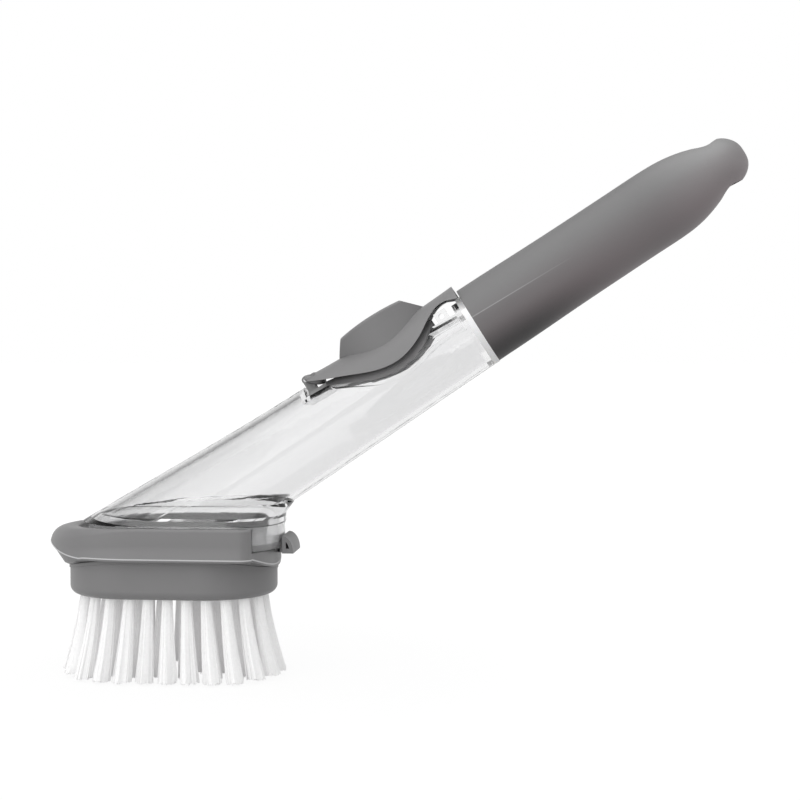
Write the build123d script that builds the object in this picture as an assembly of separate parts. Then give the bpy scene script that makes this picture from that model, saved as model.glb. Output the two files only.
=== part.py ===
from build123d import *

import math
import os

# Soap-dispensing dish wand: a clear slanted reservoir with a screw-on grip, a press lever over a
# pump diaphragm, and a brush head that hooks on at its nose and latches at its rear. Millimetres.
#
# Part frame: origin at the middle of the scrubbing face, where the bristle tips end. +X runs back
# from the nose of the head towards the grip, -Y is the near side of the photograph, +Z is up.
#
# The reservoir is a tilted round tube that widens towards the head, with a flat cut in its top
# under the lever. Its pieces are drawn in a tube frame whose origin is the centre of the joint
# with the grip, u along the tube towards the grip, v across it (the same as Y) and w out of the
# tube's top. place_on_tube() carries a piece from that frame to the part.

os.makedirs("parts", exist_ok=True)

# Where the tube sits: its tilt, and the centre of the joint between reservoir and grip.
TUBE_TILT_DEG = 32.2
JOINT_X = 113.9
JOINT_Z = 129.5

# One overrun for every cut, and the gaps that pieces keep from each other.
OVERRUN = 40.0
SLIDE_GAP = 0.3
SEAT_GAP = 0.1
RUNNING_GAP = 0.05

# Reservoir tube: station, radius and height of the centre of its round sections.
TUBE_TOP_RADIUS = 15.0
TUBE_SECTIONS = (
    (0.0, 15.0, 0.0),
    (-42.0, 15.8, -0.7),
    (-84.0, 16.6, -1.4),
    (-126.0, 17.75, -1.35),
    (-168.0, 18.95, -1.25),
)
TUBE_RUN = 165.4
TUBE_WALL = 2.2
FLAT_HEIGHT = 7.6
FLAT_SLOPE_DEG = 2.9
FLAT_FRONT_U = -66.2

# Bell at the foot of the tube, over the walls of the brush head: height, front, rear, half width
# and the runs of the two rounded ends of its oval sections.
RIM_BOTTOM_Z = 57.1
BELL_SECTIONS = (
    (57.1, -32.9, 42.4, 22.6, 27.0, 16.0),
    (60.3, -27.9, 42.5, 22.3, 27.0, 17.0),
    (64.6, -18.6, 45.7, 17.4, 30.0, 24.0),
)
BELL_INNER_DROP = 1.2

# Foot tray: the clear floor welded under the rim, which stands inside the shoe.
TRAY_FRONT_X = -31.5
TRAY_REAR_X = 42.0
TRAY_HALF_WIDTH = 21.6
TRAY_FRONT_RUN = 24.0
TRAY_REAR_RUN = 14.0
TRAY_WALL = 2.0
TRAY_FLOOR = 2.0
OUTLET_RADIUS = 5.0

# Hook at the nose: a bar on the tray's lip, in a groove of the shoe. The head swings about it.
HOOK_X = -38.0
HOOK_Z = 53.4
HOOK_BAR_RADIUS = 1.3
HOOK_HALF_WIDTH = 7.0
HOOK_LIP_THICK = 1.5
HOOK_FRONT_GAP = 3.6
HOOK_MOUTH_LOW_DEG = -20.0
HOOK_MOUTH_HIGH_DEG = 52.0

# Curved seam between the brush block and the shoe above it, an arc about a line along X.
SEAM_ARC_RADIUS = 66.0
BLOCK_TOP_Z = 41.0
FLOOR_TOP_Z = 48.1

# Brush block and its bristles.
BLOCK_FRONT_X = -38.5
BLOCK_REAR_X = 39.2
BLOCK_HALF_WIDTH = 22.4
BLOCK_END_RUN = 25.0
BLOCK_BOTTOM_Z = 30.5
BLOCK_BOTTOM_ROUND = 3.2
FLANGE_OVERHANG = 0.3
FLANGE_THICK = 1.2
SOAP_HOLE_RADIUS = 3.6
BACKING_THICK = 0.8
BACKING_INSET = 3.1
TUFT_RING_INSET = 5.6
TUFT_RING_STEP = 8.2
OUTER_TUFTS = 24
MIDDLE_TUFTS = 14
CENTRE_TUFT_STARTS = (9.0, 17.0)
STRANDS_A_SIDE = 3
STRAND_PITCH = 1.15
STRAND_WIDTH = 0.8
BRISTLE_LENGTH = 30.5
TIP_SPREAD_SHARE = 1.55
LEAN_LENGTH_SHARE = 0.18
LEAN_WIDTH_SHARE = 0.14
TIP_RISE = 4.5
TIP_RISE_START_SHARE = 0.62

# Flat wire staples that hold the folded tufts in the block.
STAPLE_LENGTH = 4.4
STAPLE_THICK = 0.4
STAPLE_HEIGHT = 2.6
STAPLE_DEPTH = 2.2

# Shoe: the boat-nosed moulding that the tray stands in.
SHOE_NOSE_X = -45.9
SHOE_REAR_X = 39.9
SHOE_HALF_WIDTH = 25.6
SHOE_NOSE_RUN = 36.0
SHOE_REAR_RUN = 15.0
SHOE_TOP_Z = 56.8
SHOE_WALL_END_X = 34.9
CHIN_HEIGHT = 9.0
CHIN_RUN = 5.0
NOSE_ROUND = 6.5
WALL_ROUND = 0.9
NOSE_STATION_SHARES = (0.012, 0.09, 0.26, 0.52, 0.8, 1.0)
NOSE_ROUND_SHARES = (0.9, 1.0, 0.95, 0.7, 0.25, 0.0)
NOSE_FILL_SHARE = 0.95

# Latch: a springy tongue cut free in the shoe's floor, with a hooded thumb tab at its end.
TONGUE_HALF_WIDTH = 5.4
TONGUE_THICK = 1.8
TONGUE_ROOT_X = 12.0
TONGUE_SLOT = 0.8
TONGUE_END_X = 41.2
LATCH_GAP = 0.5
TAB_REAR_X = 46.7
TAB_TOP_Z = 52.7
TAB_HALF_WIDTH = 8.0
TAB_WALL = 1.4
NIB_REACH = 0.7
NIB_HALF_WIDTH = 3.0
NIB_BOTTOM_Z = 50.2
NIB_HEIGHT = 1.5

# Turn of the gasket hole's seam, off the symmetry plane.
HOLE_TURN_DEG = 45.0

# Outlet valve, its retaining ring and the gasket between the head and the outlet.
VALVE_LIFT = 0.3
VALVE_FLANGE_WIDTH = 1.4
VALVE_FLANGE_THICK = 1.2
VALVE_SKIN = 0.9
VALVE_DOME_RADIUS = 2.6
VALVE_SLIT = 0.25
RING_HEIGHT = 1.8
RING_WALL = 1.6
GASKET_RADIUS = 7.4

# Screw neck, its seals and the threaded bush in the grip.
NECK_RADIUS = 11.5
NECK_WALL = 2.4
NECK_LENGTH = 19.0
SEAL_THICK = 2.2
SEAL_LIP = 1.1
O_RING_WIRE = 0.75
O_RING_INSET = 0.55
O_RING_U = 15.5
BUSH_WALL = 1.5
BUSH_LENGTH = 22.0

# Grip: round at the joint, flattened towards a rounded end with a hanging hole. Its barrel is
# given at even steps of length, as shares of the radius, and its tip at shares of the length.
GRIP_LENGTH = 113.2
GRIP_RADIUS = 15.0
GRIP_WALL = 2.2
GRIP_HOLLOW_LENGTH = 84.0
GRIP_BARREL_STEP_SHARE = 0.0707
GRIP_WAIST_STATION = 8
GRIP_WAIST_SHARE = 0.55
GRIP_BARREL_TOP_SHARES = (
    1.0, 1.008, 1.011, 1.012, 1.014, 1.019, 1.026, 1.035, 1.045, 1.056, 1.059, 1.023, 0.907, 0.783,
)
GRIP_BARREL_BOTTOM_SHARES = (
    0.98, 0.965, 0.948, 0.927, 0.905, 0.886, 0.87, 0.856, 0.842, 0.831, 0.818, 0.755, 0.59, 0.443,
)
GRIP_BARREL_WIDTH_SHARES = (
    1.0, 0.992, 0.985, 0.978, 0.972, 0.966, 0.961, 0.957, 0.954, 0.95, 0.942, 0.922, 0.87, 0.765,
)
GRIP_TIP_STATION_SHARES = (0.919, 0.952, 0.978, 0.993, 1.0)
GRIP_TIP_TOP_SHARES = (0.783, 0.742, 0.612, 0.47, 0.327)
GRIP_TIP_BOTTOM_SHARES = (0.443, 0.41, 0.297, 0.165, 0.02)
GRIP_TIP_WIDTH_SHARES = (0.765, 0.648, 0.463, 0.293, 0.108)
HANG_HOLE_RADIUS = 5.2
HANG_HOLE_INSET = 10.6

# Press lever: a leaf of a thin, slightly bent tube about the grip's axis, hinged at its front tip.
LEAF_RADIUS = 16.6
LEAF_THICK = 1.6
LEAF_BEND_RADIUS = 477.0
LEAF_BEND_DEG = 9.5
LEAF_MIDDLE_U = -29.3
LEAF_FRONT_U = -64.0
LEAF_REAR_U = -0.7
LEAF_REAR_FALL = 1.9
LEAF_EDGE_POINTS = (
    (-63.2, 16.0),
    (-58.0, 13.5),
    (-49.8, 10.1),
    (-39.6, 5.9),
    (-29.8, 4.5),
    (-22.6, 6.3),
    (-17.2, 9.1),
    (-11.5, 12.8),
    (-5.2, 13.9),
)
HINGE_U = -63.8
HINGE_W = 16.9
KNUCKLE_RADIUS = 1.35
KNUCKLE_HALF_WIDTH = 5.6
HINGE_PIN_RADIUS = 0.7
LUG_HALF_WIDTH = 2.2
LUG_RUN = 3.4
PLUNGER_U = -28.0
PLUNGER_RADIUS = 3.8
PLUNGER_REACH = 1.9
LEVER_RIB_THICK = 1.2
LEVER_RIB_OFFSET = 6.2
LEVER_RIB_RUN = 9.0
LEVER_RIB_REAR_U = -3.4
LEVER_RIB_DEPTH = 1.0

# Thumb pad on the lever: a lens in plan with a gently crowned top.
PAD_FRONT_U = -49.8
PAD_REAR_U = -13.2
PAD_HALF_WIDTH = 11.4
PAD_FRONT_TOP = 22.8
PAD_PEAK_U = -19.2
PAD_PEAK_TOP = 23.0
PAD_CROWN = 0.6
PAD_FRONT_LEAN = 5.2
PAD_REAR_LEVEL = 16.8
PAD_ROUND = 1.0

# Pump seat: grey saddle let into the tube's pocket under the lever.
SEAT_OUTER_RADIUS = 13.4
SEAT_THICK = 1.0
SEAT_CROWN_RISE = 1.0
SEAT_FRONT_U = -49.5
SEAT_REAR_U = -8.0
SEAT_BAND_FRONT_U = -47.0
SEAT_BAND_REAR_U = -14.0
SEAT_EDGE_POINTS = (
    (-63.8, 13.4),
    (-57.0, 10.4),
    (-49.3, 6.9),
    (-40.9, 2.9),
    (-32.0, 1.1),
    (-25.0, 2.3),
    (-18.4, 4.1),
    (-12.0, 4.5),
    (-6.0, 4.2),
)

# Bracket on the flat top that carries the lever's hinge.
BRACKET_FOOT_THICK = 1.6
BRACKET_FOOT_HALF_WIDTH = 6.0
BRACKET_FOOT_RUN = 8.0

# Diaphragm: a soft dome over the pump hole.
DIAPHRAGM_U = -30.0
DIAPHRAGM_HALF_LENGTH = 13.0
DIAPHRAGM_HALF_WIDTH = 7.2
DIAPHRAGM_FLANGE = 1.6
DIAPHRAGM_SKIN = 1.1
DIAPHRAGM_RISE = 3.5
DIAPHRAGM_DRAFT_DEG = 20.0
PUMP_HOLE_INSET = 2.6

# Clear stop post on the flat top, under the lever's rear.
STOP_U = -9.4
STOP_RUN = 4.6
STOP_HALF_WIDTH = 3.4
STOP_TOP_W = 12.1
STOP_EYE_RADIUS = 1.1


def place_on_tube(shape):
    """Carries a shape from the tube frame to the part frame."""
    return Pos(JOINT_X, 0, JOINT_Z) * Rot(0, -TUBE_TILT_DEG, 0) * shape


def oval(front, rear, half_width, front_run, rear_run):
    """Plan outline with parallel sides and a half ellipse at each end."""
    front_centre = front + front_run
    rear_centre = rear - rear_run
    middle = (front_centre + rear_centre) / 2
    sides = Rectangle(rear_centre - front_centre, 2 * half_width)
    front_end = Pos(front_centre, 0) * Ellipse(front_run, half_width)
    rear_end = Pos(rear_centre, 0) * Ellipse(rear_run, half_width)
    return front_end + Pos(middle, 0) * sides + rear_end


def upright(outline, low, high):
    """Prism on a plan outline, from one height to another."""
    return Pos(0, 0, low) * extrude(outline, high - low)


def across(outline, half_width):
    """Prism across the wand on an outline drawn in length and height."""
    return extrude(Plane.XZ * outline, half_width, both=True)


def side_face(*points):
    """Flat outline in length and height through straight corners."""
    return make_face(Polyline(*points, close=True))


def round_bar(radius, start, end, w=0):
    """Cylinder along the tube between two stations."""
    return extrude(Pos(start, 0, w) * Rot(0, 90, 0) * Circle(radius), end - start)


def cross_bar(radius, along, height, half_width):
    """Cylinder across the wand."""
    return Pos(along, 0, height) * Rot(90, 0, 0) * Cylinder(radius, 2 * half_width)


def box_between(start, end, half_width, low, high):
    """Box across the wand, centred on its symmetry plane."""
    box = Box(end - start, 2 * half_width, high - low)
    return Pos((start + end) / 2, 0, (low + high) / 2) * box


def flat_height(u):
    """Height of the tube's flat top at a station."""
    return FLAT_HEIGHT - u * math.tan(math.radians(FLAT_SLOPE_DEG))


def above_flat(lift, start, end):
    """Everything above the flat top, raised or lowered by a distance, between two stations."""
    outline = side_face(
        (start, flat_height(start) + lift),
        (end, flat_height(end) + lift),
        (end, TUBE_RUN),
        (start, TUBE_RUN),
    )
    return across(outline, TUBE_RUN)


def tube(inset, end):
    """Round tapered body of the tube, inset all round, from the foot to a station."""
    sections = [
        Pos(u, 0, centre_w) * Rot(0, 90, 0) * Circle(radius - inset)
        for u, radius, centre_w in TUBE_SECTIONS
    ]
    return loft(sections) & round_bar(TUBE_RUN, TUBE_SECTIONS[-1][0], end)


def bell(inset):
    """Widening foot of the tube over the rim, inset all round and lowered with the inset."""
    drop = BELL_INNER_DROP * inset / TUBE_WALL
    sections = [
        Pos(0, 0, z - drop) * oval(front + inset, rear - inset, half - inset, run - inset, back - inset)
        for z, front, rear, half, run, back in BELL_SECTIONS
    ]
    return loft(sections, ruled=True)


def seam_arc(lift):
    """Long cylinder along X whose underside is the curved seam, lifted by a height."""
    bar = Cylinder(SEAM_ARC_RADIUS - lift, 2 * (SHOE_REAR_X - SHOE_NOSE_X) + OVERRUN)
    return Pos(0, 0, BLOCK_TOP_Z + SEAM_ARC_RADIUS) * Rot(0, 90, 0) * bar


def export(shape, node):
    """Writes one node's solids to its own file."""
    export_step(shape, f"parts/{node}.step")


def above_edge(points, drop, front, rear, fall):
    """Side outline of everything above a curved lower edge, lowered, with a fall at its rear."""
    curve = Spline(*[(u, w - drop) for u, w in points])
    first_u, first_w = points[0]
    last_u, last_w = points[-1]
    rest = Polyline(
        (last_u, last_w - drop),
        (rear, last_w - drop - fall),
        (rear, OVERRUN),
        (front, OVERRUN),
        (front, first_w - drop),
        (first_u, first_w - drop),
    )
    return make_face([curve, rest])


def pocket(inset):
    """Space that the pump seat and the lever's skirt take from the tube's sides."""
    reach = FLAT_FRONT_U - inset
    profile = above_edge(SEAT_EDGE_POINTS, inset, reach, -SEAL_THICK - TUBE_WALL, 0)
    core = round_bar(SEAT_OUTER_RADIUS - SEAT_THICK - inset, reach - OVERRUN, OVERRUN)
    return across(profile, OVERRUN) - core


def flat_cut(inset):
    """Everything above the flat under the lever, grown all round by the inset."""
    return above_flat(-inset, FLAT_FRONT_U - inset, OVERRUN)


def make_reservoir():
    """Tube, bell, pump hole, lever pocket, stop post and screw neck in one clear moulding."""
    shoulder_u = -SEAL_THICK
    wall_u = shoulder_u - TUBE_WALL
    outer = tube(0, shoulder_u) - flat_cut(0) - pocket(SEAT_GAP)
    outer += round_bar(NECK_RADIUS, wall_u, NECK_LENGTH)
    inner = tube(TUBE_WALL, wall_u) - flat_cut(TUBE_WALL) - pocket(SEAT_GAP + TUBE_WALL)
    bore = NECK_RADIUS - NECK_WALL
    throat_top = FLAT_HEIGHT - TUBE_WALL
    throat = round_bar(bore, wall_u - TUBE_WALL, shoulder_u)
    throat &= box_between(wall_u - OVERRUN, shoulder_u, OVERRUN, -OVERRUN, throat_top)
    inner += throat + round_bar(bore, shoulder_u, NECK_LENGTH + OVERRUN)
    below_rim = box_between(-TUBE_RUN, TUBE_RUN, OVERRUN, -TUBE_RUN, RIM_BOTTOM_Z)
    body = place_on_tube(outer) + bell(0) - below_rim
    body -= bell(TUBE_WALL) - below_rim
    body -= place_on_tube(inner)
    groove = Torus(NECK_RADIUS - O_RING_INSET, O_RING_WIRE + SEAT_GAP)
    body -= place_on_tube(Pos(O_RING_U, 0, 0) * Rot(0, 90, 0) * groove)
    hole = Ellipse(DIAPHRAGM_HALF_LENGTH - PUMP_HOLE_INSET, DIAPHRAGM_HALF_WIDTH - PUMP_HOLE_INSET)
    body -= place_on_tube(Pos(DIAPHRAGM_U, 0, 0) * extrude(hole, OVERRUN))
    stop_low = flat_height(STOP_U) - TUBE_WALL / 2
    stop_start = STOP_U - STOP_RUN / 2
    stop = box_between(stop_start, stop_start + STOP_RUN, STOP_HALF_WIDTH, stop_low, STOP_TOP_W)
    eye_w = (STOP_TOP_W + flat_height(STOP_U)) / 2
    stop -= cross_bar(STOP_EYE_RADIUS, STOP_U, eye_w, OVERRUN)
    return body + place_on_tube(stop)


def tray_outline(inset):
    """Plan outline of the foot tray, inset all round."""
    return oval(
        TRAY_FRONT_X + inset,
        TRAY_REAR_X - inset,
        TRAY_HALF_WIDTH - inset,
        TRAY_FRONT_RUN - inset,
        TRAY_REAR_RUN - inset,
    )


def make_foot_tray():
    """Clear floor under the rim, with the outlet, the nose hook and the latch notch."""
    bottom = FLOOR_TOP_Z + SLIDE_GAP
    tray = upright(tray_outline(0), bottom, RIM_BOTTOM_Z)
    inside = upright(tray_outline(TRAY_WALL), bottom + TRAY_FLOOR, RIM_BOTTOM_Z + OVERRUN)
    lip_reach = TRAY_FRONT_X + TRAY_WALL - HOOK_X
    lip_low = HOOK_Z - HOOK_LIP_THICK / 2
    lip = box_between(HOOK_X, HOOK_X + lip_reach, HOOK_HALF_WIDTH, lip_low, lip_low + HOOK_LIP_THICK)
    bar = cross_bar(HOOK_BAR_RADIUS, HOOK_X, HOOK_Z, HOOK_HALF_WIDTH)
    notch = box_between(
        TRAY_REAR_X - NIB_REACH,
        TRAY_REAR_X + OVERRUN,
        NIB_HALF_WIDTH + SLIDE_GAP,
        NIB_BOTTOM_Z - SLIDE_GAP,
        NIB_BOTTOM_Z + NIB_HEIGHT + SLIDE_GAP,
    )
    outlet = upright(Circle(OUTLET_RADIUS), BLOCK_TOP_Z, RIM_BOTTOM_Z)
    return tray + lip + bar - inside - outlet - notch


# The valve's flange lies on the tray's floor.
VALVE_SEAT_Z = FLOOR_TOP_Z + SLIDE_GAP + TRAY_FLOOR + VALVE_LIFT
VALVE_FLANGE_RADIUS = OUTLET_RADIUS + VALVE_FLANGE_WIDTH


def make_outlet_valve():
    """Slit silicone dome that hangs in the outlet from a flange."""
    top = VALVE_SEAT_Z + VALVE_FLANGE_THICK
    inner_radius = VALVE_DOME_RADIUS - VALVE_SKIN
    flange = upright(Circle(VALVE_FLANGE_RADIUS), VALVE_SEAT_Z, top)
    dome = Pos(0, 0, VALVE_SEAT_Z) * Sphere(VALVE_DOME_RADIUS)
    dome -= upright(Circle(OVERRUN), top, top + OVERRUN)
    inside = Pos(0, 0, VALVE_SEAT_Z) * Sphere(inner_radius)
    inside += upright(Circle(inner_radius), VALVE_SEAT_Z, top + OVERRUN)
    slit = Box(inner_radius, VALVE_SLIT, OVERRUN)
    slit = Pos(0, 0, VALVE_SEAT_Z) * (slit + Rot(0, 0, 90) * slit)
    return flange + dome - inside - slit


def make_valve_ring():
    """Ring that holds the valve's flange down."""
    low = VALVE_SEAT_Z + VALVE_FLANGE_THICK
    ring = upright(Circle(VALVE_FLANGE_RADIUS), low, low + RING_HEIGHT)
    return ring - upright(Circle(VALVE_FLANGE_RADIUS - RING_WALL), low, low + RING_HEIGHT)


def nose_section(share, round_share):
    """Upright section of the shoe's nose at a share of its run, with rounded shoulders."""
    offset = SHOE_NOSE_RUN * share
    back = 1 - share
    half = SHOE_HALF_WIDTH * math.sqrt(1 - back * back)
    radius = min(NOSE_ROUND * round_share + WALL_ROUND, half * NOSE_FILL_SHARE)
    low = BLOCK_TOP_Z - FLANGE_THICK
    outline = Pos(0, (SHOE_TOP_Z + low) / 2) * Rectangle(2 * half, SHOE_TOP_Z - low)
    outline = fillet(outline.vertices().group_by(Axis.Y)[-1], radius)
    plane = Plane(origin=(SHOE_NOSE_X + offset, 0, 0), x_dir=(0, 1, 0), z_dir=(1, 0, 0))
    return plane * outline


def chin():
    """Everything in front of the shoe's cut-back chin."""
    outline = side_face(
        (SHOE_NOSE_X, BLOCK_TOP_Z + CHIN_HEIGHT),
        (SHOE_NOSE_X + 2 * CHIN_RUN, BLOCK_TOP_Z - CHIN_HEIGHT),
        (SHOE_NOSE_X - CHIN_RUN, BLOCK_TOP_Z - CHIN_HEIGHT),
        (SHOE_NOSE_X - CHIN_RUN, BLOCK_TOP_Z + CHIN_HEIGHT),
    )
    return across(outline, OVERRUN)


def hook_mouth():
    """Wedge behind the nose groove that the tray's lip swings through."""
    low = math.radians(HOOK_MOUTH_LOW_DEG)
    high = math.radians(HOOK_MOUTH_HIGH_DEG)
    reach = SHOE_TOP_Z - BLOCK_TOP_Z
    half = HOOK_LIP_THICK / 2 + SLIDE_GAP
    outline = side_face(
        (HOOK_X, HOOK_Z - half),
        (HOOK_X + reach * math.cos(low), HOOK_Z - half + reach * math.sin(low)),
        (HOOK_X + reach, HOOK_Z + reach),
        (HOOK_X + reach * math.cos(high), HOOK_Z + half + reach * math.sin(high)),
        (HOOK_X, HOOK_Z + half),
    )
    return across(outline, HOOK_HALF_WIDTH + SLIDE_GAP)


TONGUE_BOTTOM_Z = FLOOR_TOP_Z - TONGUE_THICK
TONGUE_MIDDLE_Z = TONGUE_BOTTOM_Z + TONGUE_THICK / 2


def make_head_shoe():
    """Boat-nosed tray with two walls, an open rear and the latch tongue in its floor."""
    stations = zip(NOSE_STATION_SHARES, NOSE_ROUND_SHARES)
    nose = loft([nose_section(share, round_share) for share, round_share in stations])
    nose_end = SHOE_NOSE_X + SHOE_NOSE_RUN
    low = BLOCK_TOP_Z - FLANGE_THICK
    plan = oval(SHOE_NOSE_X, SHOE_REAR_X, SHOE_HALF_WIDTH, SHOE_NOSE_RUN, SHOE_REAR_RUN)
    stern = upright(plan, low, SHOE_TOP_Z)
    stern &= box_between(nose_end, SHOE_REAR_X + OVERRUN, OVERRUN, low, SHOE_TOP_Z)
    stern = fillet(stern.edges().filter_by(Axis.X).group_by(Axis.Z)[-1], WALL_ROUND)
    above_floor = box_between(
        SHOE_NOSE_X - OVERRUN, SHOE_REAR_X + OVERRUN, OVERRUN, FLOOR_TOP_Z, SHOE_TOP_Z + OVERRUN
    )
    behind = box_between(SHOE_WALL_END_X, SHOE_REAR_X + OVERRUN, OVERRUN, low, SHOE_TOP_Z + OVERRUN)
    shell = (nose + stern - (behind & above_floor)) & seam_arc(0)
    well = oval(
        TRAY_FRONT_X - HOOK_FRONT_GAP,
        TRAY_REAR_X + OVERRUN,
        TRAY_HALF_WIDTH + SLIDE_GAP,
        TRAY_FRONT_RUN + HOOK_FRONT_GAP,
        TRAY_REAR_RUN,
    )
    well = upright(well, low, SHOE_TOP_Z + OVERRUN) & above_floor
    shell -= well
    shell -= chin()
    shell -= cross_bar(HOOK_BAR_RADIUS + RUNNING_GAP, HOOK_X, HOOK_Z, HOOK_HALF_WIDTH + SLIDE_GAP)
    shell -= hook_mouth()
    slot_half = TONGUE_HALF_WIDTH + TONGUE_SLOT
    shell -= box_between(TONGUE_ROOT_X, SHOE_REAR_X + OVERRUN, slot_half, low, SHOE_TOP_Z)
    shell -= upright(Rot(0, 0, HOLE_TURN_DEG) * Circle(GASKET_RADIUS + SEAT_GAP), low, SHOE_TOP_Z)
    tongue_top = TONGUE_BOTTOM_Z + TONGUE_THICK
    tongue = box_between(TONGUE_ROOT_X, TONGUE_END_X, TONGUE_HALF_WIDTH, TONGUE_BOTTOM_Z, tongue_top)
    groove_radius = TONGUE_THICK / 2 + RUNNING_GAP
    tongue -= cross_bar(groove_radius, TONGUE_END_X, TONGUE_MIDDLE_Z, OVERRUN)
    return shell + tongue


def make_latch_tab():
    """Hooded thumb tab that bends back from the end of the tongue."""
    front = TRAY_REAR_X + LATCH_GAP
    depth = TAB_REAR_X - front
    height = TAB_TOP_Z - TONGUE_BOTTOM_Z
    corner = Pos(front + depth, TONGUE_BOTTOM_Z + height) * Rectangle(2 * depth, 2 * height)
    hood = (Pos(front, TONGUE_BOTTOM_Z) * Ellipse(depth, height)) & corner
    hollow = Pos(front, TONGUE_BOTTOM_Z) * Ellipse(depth - TAB_WALL, height - TAB_WALL)
    hollow &= Pos(TAB_WALL, TONGUE_THICK) * corner
    side = TAB_HALF_WIDTH - TAB_WALL / 2
    cheeks = Pos(0, side, 0) * across(hollow, side) + Pos(0, -side, 0) * across(hollow, side)
    tab = across(hood, TAB_HALF_WIDTH) - (cheeks - across(hollow, TAB_WALL / 2))
    tongue_top = TONGUE_BOTTOM_Z + TONGUE_THICK
    root = box_between(
        TONGUE_END_X, front + TAB_WALL, TONGUE_HALF_WIDTH, TONGUE_BOTTOM_Z, tongue_top
    )
    bar = cross_bar(TONGUE_THICK / 2, TONGUE_END_X, TONGUE_MIDDLE_Z, TONGUE_HALF_WIDTH)
    nib_top = NIB_BOTTOM_Z + NIB_HEIGHT
    nib = across(
        side_face(
            (front + TAB_WALL / 2, NIB_BOTTOM_Z),
            (front - NIB_REACH, NIB_BOTTOM_Z + NIB_HEIGHT / 2),
            (front - NIB_REACH, nib_top),
            (front + TAB_WALL / 2, nib_top),
        ),
        NIB_HALF_WIDTH,
    )
    return tab + root + bar + nib


def make_head_gasket():
    """Soft ring between the brush block and the underside of the tray."""
    low = BLOCK_TOP_Z + VALVE_LIFT
    high = FLOOR_TOP_Z - SEAT_GAP
    return upright(Circle(GASKET_RADIUS), low, high) - upright(Circle(SOAP_HOLE_RADIUS), low, high)


def block_outline(inset):
    """Plan outline of the brush block, inset all round."""
    front = BLOCK_FRONT_X + inset
    rear = BLOCK_REAR_X - inset
    run = BLOCK_END_RUN - inset
    return oval(front, rear, BLOCK_HALF_WIDTH - inset, run, run)


BACKING_TOP_Z = BLOCK_BOTTOM_Z + BACKING_THICK


def make_brush_block():
    """Oval block with a rounded lower edge and a thin flange that closes the shoe from below."""
    body = upright(block_outline(0), BLOCK_BOTTOM_Z, SHOE_TOP_Z)
    body = fillet(body.edges().group_by(Axis.Z)[0], BLOCK_BOTTOM_ROUND)
    flange = upright(block_outline(-FLANGE_OVERHANG), BLOCK_BOTTOM_Z, SHOE_TOP_Z)
    flange &= seam_arc(-FLANGE_THICK)
    body += flange - chin()
    body -= seam_arc(-SEAT_GAP)
    body -= upright(block_outline(BACKING_INSET), BLOCK_BOTTOM_Z, BACKING_TOP_Z)
    body -= upright(Circle(SOAP_HOLE_RADIUS), BLOCK_BOTTOM_Z, SHOE_TOP_Z)
    return body - staples()


def ring_places(inset, count):
    """Even places round an oval inside the block's outline."""
    ring = block_outline(inset).face().outer_wire()
    return [ring.position_at(i / count) for i in range(count)]


def tuft_places():
    """Centres of the tufts: two oval rings and a middle row."""
    outer = ring_places(TUFT_RING_INSET, OUTER_TUFTS)
    middle = ring_places(TUFT_RING_INSET + TUFT_RING_STEP, MIDDLE_TUFTS)
    centre = [Vector(side * x, 0, 0) for x in CENTRE_TUFT_STARTS for side in (-1, 1)]
    return outer + middle + centre


def strand(place, i, j):
    """One strand, from its root in the backing to its splayed and trimmed tip."""
    middle = (STRANDS_A_SIDE - 1) / 2
    du = (i - middle) * STRAND_PITCH
    dv = (j - middle) * STRAND_PITCH
    reach = abs(place.X) / BLOCK_REAR_X
    rise = TIP_RISE * max(0, reach - TIP_RISE_START_SHARE)
    root = Vector(place.X + du, place.Y + dv, BACKING_TOP_Z)
    tip = Vector(
        place.X * (1 + LEAN_LENGTH_SHARE) + du * TIP_SPREAD_SHARE,
        place.Y * (1 + LEAN_WIDTH_SHARE) + dv * TIP_SPREAD_SHARE,
        BLOCK_BOTTOM_Z - BRISTLE_LENGTH + rise,
    )
    run = tip - root
    foot = Pos(root.X, root.Y, root.Z) * Rectangle(STRAND_WIDTH, STRAND_WIDTH)
    return extrude(foot, run.length, dir=run.normalized())


def make_bristles():
    """Strands of all tufts on the thin slice of the block that carries them."""
    backing = upright(block_outline(BACKING_INSET + SEAT_GAP), BLOCK_BOTTOM_Z, BACKING_TOP_Z)
    backing -= upright(Circle(SOAP_HOLE_RADIUS), BLOCK_BOTTOM_Z, BACKING_TOP_Z)
    strands = [
        strand(place, i, j)
        for place in tuft_places()
        for i in range(STRANDS_A_SIDE)
        for j in range(STRANDS_A_SIDE)
    ]
    return backing + strands


def staples():
    """Flat wire anchors over the tufts' folded roots."""
    middle = BACKING_TOP_Z + STAPLE_DEPTH + STAPLE_HEIGHT / 2
    places = tuft_places()
    return [
        Pos(place.X, place.Y, middle) * Box(STAPLE_LENGTH, STAPLE_THICK, STAPLE_HEIGHT)
        for place in places
    ]


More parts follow.
